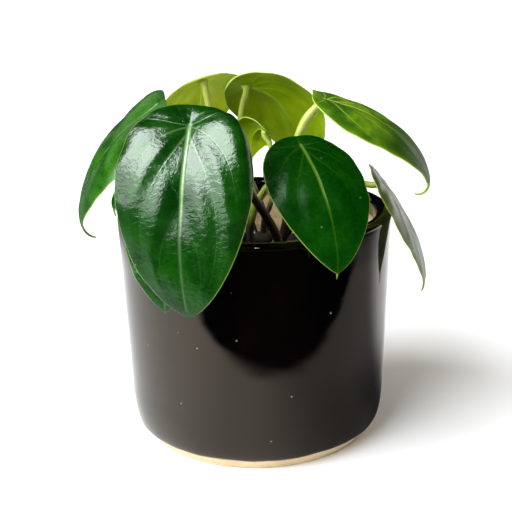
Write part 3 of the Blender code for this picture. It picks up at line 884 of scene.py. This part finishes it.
def glazed_pot(steps=240):
    """Rows of (radius, height, waviness of the glaze edge, hand-made wobble)."""
    rows, kinds = [], []  # the kind is of the band between a row and the next

    def row(r, z, kind, edge=0.0, wobble=0.0, ridge=0.0):
        rows.append((r, z, edge, wobble, ridge))
        kinds.append(kind)

    glaze, clay = 0, 1
    row(0.0, POT_FLOOR, clay)
    for r in (1.5, 3.0, 4.2):
        row(r, POT_FLOOR, clay)
    for r, z in arc((inner_radius(1.3) - 0.45, POT_FLOOR + 0.45), 0.45, -80, 0, 6):
        row(r, z, clay)
    for z in np.arange(1.6, 7.2, 0.45):
        row(inner_radius(z), z, clay, ridge=0.4)
    for z in np.arange(7.2, INNER_GLAZE - 0.12, 0.075):
        row(inner_radius(z), z, clay, ridge=1.0)
    # the glaze stands a little proud of the clay, with a rounded edge
    row(inner_radius(INNER_GLAZE), INNER_GLAZE - 0.05, clay, edge=1.0)
    row(inner_radius(INNER_GLAZE) - 0.001, INNER_GLAZE - 0.015, glaze, edge=1.0)
    row(inner_radius(INNER_GLAZE) - 0.018, INNER_GLAZE, glaze, edge=1.0)
    row(inner_radius(INNER_GLAZE) - 0.028, INNER_GLAZE + 0.04, glaze, edge=1.0)
    row(inner_radius(INNER_GLAZE) - 0.022, INNER_GLAZE + 0.12, glaze, edge=0.5)
    half = (RIM_RADIUS - INNER_RADIUS) / 2
    lip = (INNER_RADIUS + half, POT_HEIGHT - LIP_ROUND)
    for z in (9.62, 9.76):
        row(inner_radius(z) - 0.004, z, glaze, wobble=0.6)
    for r, z in arc(lip, (half, LIP_ROUND), 180, 0, 26):
        row(r, z, glaze, wobble=0.7)
    low, high = HEEL_HEIGHT, POT_HEIGHT - LIP_ROUND
    for z in np.linspace(high, low, 66)[1:]:
        t = (high - z) / (high - low)
        row(RIM_RADIUS + (HEEL_RADIUS - RIM_RADIUS) * t, z, glaze, wobble=1.0)
    reach = (HEEL_RADIUS - GLAZE_RADIUS, HEEL_HEIGHT - GLAZE_HEIGHT)
    for r, z in list(arc((GLAZE_RADIUS, HEEL_HEIGHT), reach, 0, -84, 26))[1:]:
        row(r, z, glaze, edge=smooth(z, 1.6, 0.7), wobble=1.0)
    row(GLAZE_RADIUS + 0.012, GLAZE_HEIGHT - 0.005, glaze, edge=1.0)
    row(GLAZE_RADIUS - 0.018, GLAZE_HEIGHT - 0.035, glaze, edge=1.0)
    row(GLAZE_RADIUS - 0.050, GLAZE_HEIGHT - 0.040, glaze, edge=1.0)
    row(GLAZE_RADIUS - 0.072, GLAZE_HEIGHT - 0.030, clay, edge=1.0)
    row(GLAZE_RADIUS - 0.088, GLAZE_HEIGHT - 0.060, clay, edge=0.8)
    for t in (0.15, 0.35, 0.55, 0.75, 0.9, 1.0):
        row(GLAZE_RADIUS - 0.10 + (FOOT_RADIUS + 0.10 - GLAZE_RADIUS + 0.10) * t,
            GLAZE_HEIGHT - 0.09 + (0.10 - GLAZE_HEIGHT + 0.09) * t, clay,
            edge=0.4 * (1 - t))
    for r, z in list(arc((FOOT_RADIUS, 0.07), 0.07, -25, -90, 4)):
        row(r, z, clay)
    for r in (4.6, 3.6, 2.4, 1.2):
        row(r, 0.0, clay)
    row(0.0, 0.0, clay)

    turn = np.arange(steps) / steps * math.tau
    rng = np.random.default_rng(7)
    edge_wave = sum(a * np.sin(k * turn + rng.uniform(0, 6.3)) for k, a in
                    ((2, 0.012), (5, 0.010), (9, 0.009), (17, 0.007), (29, 0.004)))
    points, faces, slots, ring = [], [], [], []
    for i, (r, z, edge, wobble, ridge) in enumerate(rows):
        if r == 0.0:
            ring.append([len(points)])
            points.append((0.0, 0.0, z))
            continue
        ring.append(list(range(len(points), len(points) + steps)))
        heights = z + edge * edge_wave
        around = np.stack([5 * np.cos(turn), 5 * np.sin(turn),
                           np.full(steps, z * 1.3)], -1)
        swell = wobble * (0.010 * grain(around, 2.6, 3.0) + 0.0035 * grain(around, 0.9, 8.0))
        radii = r + swell + ridge * (0.012 * math.sin(z * 11.0) + 0.006 * math.sin(z * 27.0))
        points += list(np.stack([radii * np.cos(turn), radii * np.sin(turn), heights], -1))
    for i in range(len(rows) - 1):
        a, b = ring[i], ring[i + 1]
        for k in range(steps):
            n = (k + 1) % steps
            if len(a) == 1:
                faces.append((a[0], b[n], b[k]))
            elif len(b) == 1:
                faces.append((a[k], a[n], b[0]))
            else:
                faces.append((a[k], a[n], b[n], b[k]))
            slots.append(kinds[i])
    faces = [face[::-1] for face in faces]
    piece = add_mesh("glazed_pot", points, faces, [GLAZE, CLAY], slots)
    return fit_in(piece, "pot")


# ---------------------------------------------------------------------- soil
def loose_soil(steps=150):
    rng = np.random.default_rng(21)
    wall = inner_radius(SOIL_TOP) - 0.04
    radii = np.concatenate([[0.0], np.linspace(0.12, wall, 44)])
    points, faces = [(0.0, 0.0, SOIL_TOP)], []
    turn = np.arange(steps) / steps * math.tau
    for r in radii[1:]:
        for a in turn:
            p = Vector((r * math.cos(a), r * math.sin(a), 0.0))
            z = SOIL_TOP + 0.06 * math.cos(r * 1.9) - 0.08
            z += 0.10 * noise.noise(p / 0.9) + 0.07 * noise.noise(p / 0.33)
            lump = noise.voronoi(p / 0.30)[0][0]
            z += 0.10 * (0.45 - lump) + 0.03 * noise.noise(p / 0.10)
            z -= 0.10 * smooth(r, wall - 0.25, wall)
            points.append((p.x, p.y, z))
    for k in range(steps):
        faces.append((0, 1 + k, 1 + (k + 1) % steps))
    rows = len(radii) - 1
    faces += rings_to_faces(rows, steps, offset=1)
    # the sides and the bottom, hidden in the pot
    last = 1 + (rows - 1) * steps
    for r, z in ((inner_radius(4.5) - GAP_CM, 4.5), (inner_radius(1.5) - GAP_CM, 1.5),
                 (inner_radius(1.3) - 0.5, POT_FLOOR + GAP_CM)):
        offset = len(points)
        points += [(r * math.cos(a), r * math.sin(a), z) for a in turn]
        for k in range(steps):
            n = (k + 1) % steps
            faces.append((last + k, offset + k, offset + n, last + n))
        last = offset
    points.append((0.0, 0.0, POT_FLOOR + GAP_CM))
    for k in range(steps):
        faces.append((len(points) - 1, last + (k + 1) % steps, last + k))
    kind = [0.0] * len(points)
    # crumbs, fibres and bark on the surface
    ball = bpy.data.meshes.new("ball")
    import bmesh
    bm = bmesh.new()
    bmesh.ops.create_icosphere(bm, subdivisions=2, radius=1.0)
    shape = np.array([v.co for v in bm.verts])
    shape_faces = [[v.index for v in f.verts] for f in bm.faces]
    bm.free()
    bpy.data.meshes.remove(ball)
    for n in range(420):
        r = math.sqrt(rng.uniform(0.02, 1.0)) * (wall - 0.22)
        a = rng.uniform(0, math.tau)
        bark = rng.uniform() < 0.16
        size = rng.uniform(0.035, 0.10) if not bark else rng.uniform(0.06, 0.15)
        stretch = np.array([rng.uniform(0.7, 1.3), rng.uniform(0.6, 1.2),
                            rng.uniform(0.5, 0.9)])
        if bark:
            stretch *= (1.7, 0.8, 0.45)
        p = Vector((r * math.cos(a), r * math.sin(a), 0.0))
        z = (SOIL_TOP + 0.06 * math.cos(r * 1.9) - 0.08 + 0.10 * noise.noise(p / 0.9)
             + 0.07 * noise.noise(p / 0.33) + 0.10 * (0.45 - noise.voronoi(p / 0.30)[0][0]))
        spin = Matrix.Rotation(rng.uniform(0, math.tau), 3, "Z") @ Matrix.Rotation(
            rng.uniform(-0.5, 0.5), 3, "X")
        rough = 1 + 0.35 * grain(shape, 0.8, n * 1.7)
        lump = (shape * rough[:, None] * stretch * size) @ np.array(spin).T
        offset = len(points)
        points += [(x + p.x, y + p.y, h + z + size * 0.25) for x, y, h in lump]
        faces += [[offset + i for i in f] for f in shape_faces]
        kind += [float(bark) * rng.uniform(0.5, 1.0)] * len(shape)
    piece = add_mesh("loose_soil", points, faces, [SOIL], values={"kind": kind})
    return fit_in(piece, "potting_soil")


# --------------------------------------------------------------------- crown
def stem(sides=48):
    """The short stem, ringed where older stalks have dropped."""
    heights = np.linspace(SOIL_TOP - 0.15, CROWN_TOP - 0.02, 46)
    points, faces = [], []
    for z in heights:
        t = (z - heights[0]) / (heights[-1] - heights[0])
        dome = math.sqrt(max(0.0, 1 - max(0.0, (z - (CROWN_TOP - 0.32)) / 0.30) ** 2))
        ring = 0.030 * math.exp(-((z * 3.1) % 1.0 - 0.5) ** 2 / 0.012)
        r0 = (CROWN_RADIUS * (1.05 - 0.10 * t) + ring) * max(dome, 0.08)
        for k in range(sides):
            a = math.tau * k / sides
            p = Vector((math.cos(a), math.sin(a), z * 1.2))
            r = r0 * (1 + 0.06 * noise.noise(p * 2.2) + 0.03 * noise.noise(p * 6.0))
            points.append((CROWN_X + r * math.cos(a), r * math.sin(a), z))
    rows = len(heights)
    faces += rings_to_faces(rows, sides)
    points += [(CROWN_X, 0.0, heights[0]), (CROWN_X, 0.0, heights[-1] + 0.01)]
    low, high = rows * sides, rows * sides + 1
    for k in range(sides):
        n = (k + 1) % sides
        faces.append((low, n, k))
        faces.append((high, (rows - 1) * sides + k, (rows - 1) * sides + n))
    piece = add_mesh("crown_stem", points, faces, [CROWN])
    return fit_in(piece, "plant_crown")


glazed_pot()
loose_soil()
stem()
for where in LEAVES:
    leaf_blade(where)
    leaf_stalk(where)

# --------------------------------------------------------------------- studio
scene = bpy.context.scene
scene.view_settings.view_transform = "Standard"
# how strong the daylight and the light all round are; where the daylight comes
# from, in degrees from -Y towards +X and above the floor; how soft it is
KEY, FILL = 7.2, 0.48
KEY_TURN, KEY_RISE, SOFT = -57, 34, 62


def plain(name, tone, roughness=0.9):
    s = Shader(name)
    body = s.principled(Base_Color=tone, Roughness=roughness)
    body.inputs["Specular IOR Level"].default_value = 0.2
    return s.finish(body.outputs[0])


floor_mesh = bpy.data.meshes.new("floor")
reach = 9.0
floor_mesh.from_pydata([(-reach, -reach, 0), (reach, -reach, 0), (reach, reach, 0),
                        (-reach, reach, 0)], [], [(0, 1, 2, 3)])
floor_mesh.materials.append(plain("white_floor", (0.90, 0.90, 0.90)))
floor = bpy.data.objects.new("floor", floor_mesh)
floor.location = (0.0, 0.0, -0.0001)
scene.collection.objects.link(floor)

# a dark card on the floor, seen only in reflections: a painted reflection of the dark room in
# front, with a soft edge, clear where the floor close to the pot at the front and left is
# mirrored; to the right it also paints the floor's shade into what the pot mirrors
def card_depth(turn, r):
    """How dark the card is at a place: degrees from -Y towards +X, and cm."""
    near = 14.4 + 8.0 * (abs(turn - 12.0) / 58.0) ** 2.6
    dark = smooth(r, near - 1.0, near + 1.0) * smooth(turn, -54.0, -38.0)
    dark *= 1 - smooth(turn, 74.0, 92.0)
    # painted shade: what the pot mirrors of the floor grows darker towards the right
    side = (0.28 * smooth(turn, -55.0, -10.0) + 0.44 * smooth(turn, -10.0, 40.0))
    side *= 1 - smooth(turn, 96.0, 118.0)
    # painted shadow: the pot's own shadow on the floor close by, as the pot mirrors it
    painted_near_shadow = 0.32 * smooth(turn, 30.0, 60.0) + 0.30 * smooth(turn, 66.0, 90.0)
    painted_near_shadow *= (1 - smooth(turn, 108.0, 126.0)) * (1 - smooth(r, 9.0, 15.0))
    beyond = 0.85 * smooth(r, 25.0, 36.0) * (1 - smooth(turn, 100.0, 130.0))
    return 1 - (1 - dark) * (1 - side) * (1 - painted_near_shadow) * (1 - beyond)


turns = np.linspace(-180.0, 130.0, 156)
reaches = np.concatenate([np.linspace(5.3, 42.0, 75), np.geomspace(46.0, 260.0, 14)])
card_points = [(r * math.sin(math.radians(a)), -r * math.cos(math.radians(a)), 0.05)
               for r in reaches for a in turns]
card_dark = [float(card_depth(a, r)) for r in reaches for a in turns]
s = Shader("dark_card")
clear = s.node("ShaderNodeBsdfTransparent")
black = s.node("ShaderNodeBsdfDiffuse")
black.inputs["Color"].default_value = (0.001, 0.001, 0.001, 1.0)
blend = s.node("ShaderNodeMixShader")
s.put(blend.inputs[0], s.attribute("dark"))
s.put(blend.inputs[1], clear.outputs[0])
s.put(blend.inputs[2], black.outputs[0])
card = add_mesh("card", card_points,
                rings_to_faces(len(reaches), len(turns), closed=False),
                [s.finish(blend.outputs[0])], values={"dark": card_dark})
card.visible_camera = card.visible_diffuse = card.visible_shadow = False
card.visible_transmission = card.visible_volume_scatter = False


def lamp(name, turn, rise, away, wide, tall, radiance, tone):
    """A soft box, aimed at the plant from so many degrees round and up."""
    made = bpy.data.lights.new(name, "AREA")
    made.shape = "RECTANGLE"
    made.size, made.size_y = wide, tall
    made.energy = radiance * math.pi * wide * tall
    made.color = tone
    made = bpy.data.objects.new(name, made)
    a, e = math.radians(turn), math.radians(rise)
    place = Vector((math.sin(a) * math.cos(e), -math.cos(a) * math.cos(e),
                    math.sin(e))) * away
    made.location = place + Vector((0.0, 0.0, 0.08))
    made.rotation_euler = (-place).to_track_quat("-Z", "Y").to_euler()
    made.visible_camera = False
    scene.collection.objects.link(made)
    return made


# wide soft daylight from the left and front, and the pale panels that are mirrored
key = bpy.data.lights.new("daylight", "SUN")
key.energy, key.angle = KEY, math.radians(SOFT)
key.color = (0.97, 1.0, 1.04)
key = bpy.data.objects.new("daylight", key)
key.rotation_euler = (math.radians(90 - KEY_RISE), 0.0, math.radians(KEY_TURN))
key.visible_glossy = False
scene.collection.objects.link(key)
for panel in (lamp("panel", -55, 55, 1.5, 1.45, 1.10, 28.0, (0.93, 1.0, 0.97)),
               lamp("panel_low", -51, 21, 1.5, 1.95, 0.78, 9.5, (0.93, 1.0, 0.97)),
               lamp("panel_back", -143, 25, 1.5, 0.60, 0.45, 0.9, (1.0, 1.0, 0.95))):
    panel.visible_diffuse = False

world = bpy.data.worlds.new("studio")
scene.world = world
world.use_nodes = True
tree = world.node_tree
tree.nodes.clear()


def world_node(kind, **settings):
    made = tree.nodes.new(kind)
    for key_name, value in settings.items():
        setattr(made, key_name, value)
    return made


out = world_node("ShaderNodeOutputWorld")
seen = world_node("ShaderNodeBackground")
seen.inputs[0].default_value = (1.0, 1.0, 1.0, 1)
fill = world_node("ShaderNodeBackground")
fill.inputs[0].default_value = (1.0, 0.95, 0.86, 1)
fill.inputs[1].default_value = FILL
# what is mirrored: pale behind the plant to the right and low, dark elsewhere
where_to = world_node("ShaderNodeTexCoord")
split = world_node("ShaderNodeSeparateXYZ")
tree.links.new(where_to.outputs["Generated"], split.inputs[0])
behind, low = [world_node("ShaderNodeMapRange", interpolation_type="SMOOTHSTEP")
               for _ in range(2)]
towards = world_node("ShaderNodeVectorMath", operation="DOT_PRODUCT")
towards.inputs[1].default_value = (0.77, 0.64, 0.0)
tree.links.new(where_to.outputs["Generated"], towards.inputs[0])
tree.links.new(towards.outputs["Value"], behind.inputs["Value"])
tree.links.new(split.outputs[2], low.inputs["Value"])
for made, values in ((behind, (0.82, 0.97, 0.0, 2.2)), (low, (0.30, 0.06, 0.0, 1.0))):
    for key_name, value in zip(("From Min", "From Max", "To Min", "To Max"), values):
        made.inputs[key_name].default_value = value
back = world_node("ShaderNodeMath", operation="MULTIPLY_ADD")
tree.links.new(behind.outputs["Result"], back.inputs[0])
tree.links.new(low.outputs["Result"], back.inputs[1])
back.inputs[2].default_value = 0.005
mirrored = world_node("ShaderNodeBackground")
mirrored.inputs[0].default_value = (1.0, 0.99, 0.95, 1)
tree.links.new(back.outputs[0], mirrored.inputs[1])
path = world_node("ShaderNodeLightPath")
first = world_node("ShaderNodeMixShader")
second = world_node("ShaderNodeMixShader")
tree.links.new(path.outputs["Is Glossy Ray"], first.inputs[0])
tree.links.new(fill.outputs[0], first.inputs[1])
tree.links.new(mirrored.outputs[0], first.inputs[2])
tree.links.new(path.outputs["Is Camera Ray"], second.inputs[0])
tree.links.new(first.outputs[0], second.inputs[1])
tree.links.new(seen.outputs[0], second.inputs[2])
tree.links.new(second.outputs[0], out.inputs["Surface"])

# --------------------------------------------------------------------- camera
PITCH, YAW, TILT = 0.3026, 0.0007, -0.0189
forward = Vector((math.sin(YAW) * math.cos(PITCH), math.cos(YAW) * math.cos(PITCH),
                  -math.sin(PITCH)))
right = Vector((math.cos(YAW), -math.sin(YAW), 0.0))
above = right.cross(forward)
right, above = (right * math.cos(TILT) + above * math.sin(TILT),
                above * math.cos(TILT) - right * math.sin(TILT))
lens = bpy.data.cameras.new("camera")
lens.sensor_width = 36.0
lens.lens = 73.83
lens.clip_start, lens.clip_end = 0.01, 100.0
camera = bpy.data.objects.new("camera", lens)
camera.matrix_world = Matrix((
    (right.x, above.x, -forward.x, 0.0),
    (right.y, above.y, -forward.y, -0.4473),
    (right.z, above.z, -forward.z, 0.2182),
    (0.0, 0.0, 0.0, 1.0)))
scene.collection.objects.link(camera)
scene.camera = camera
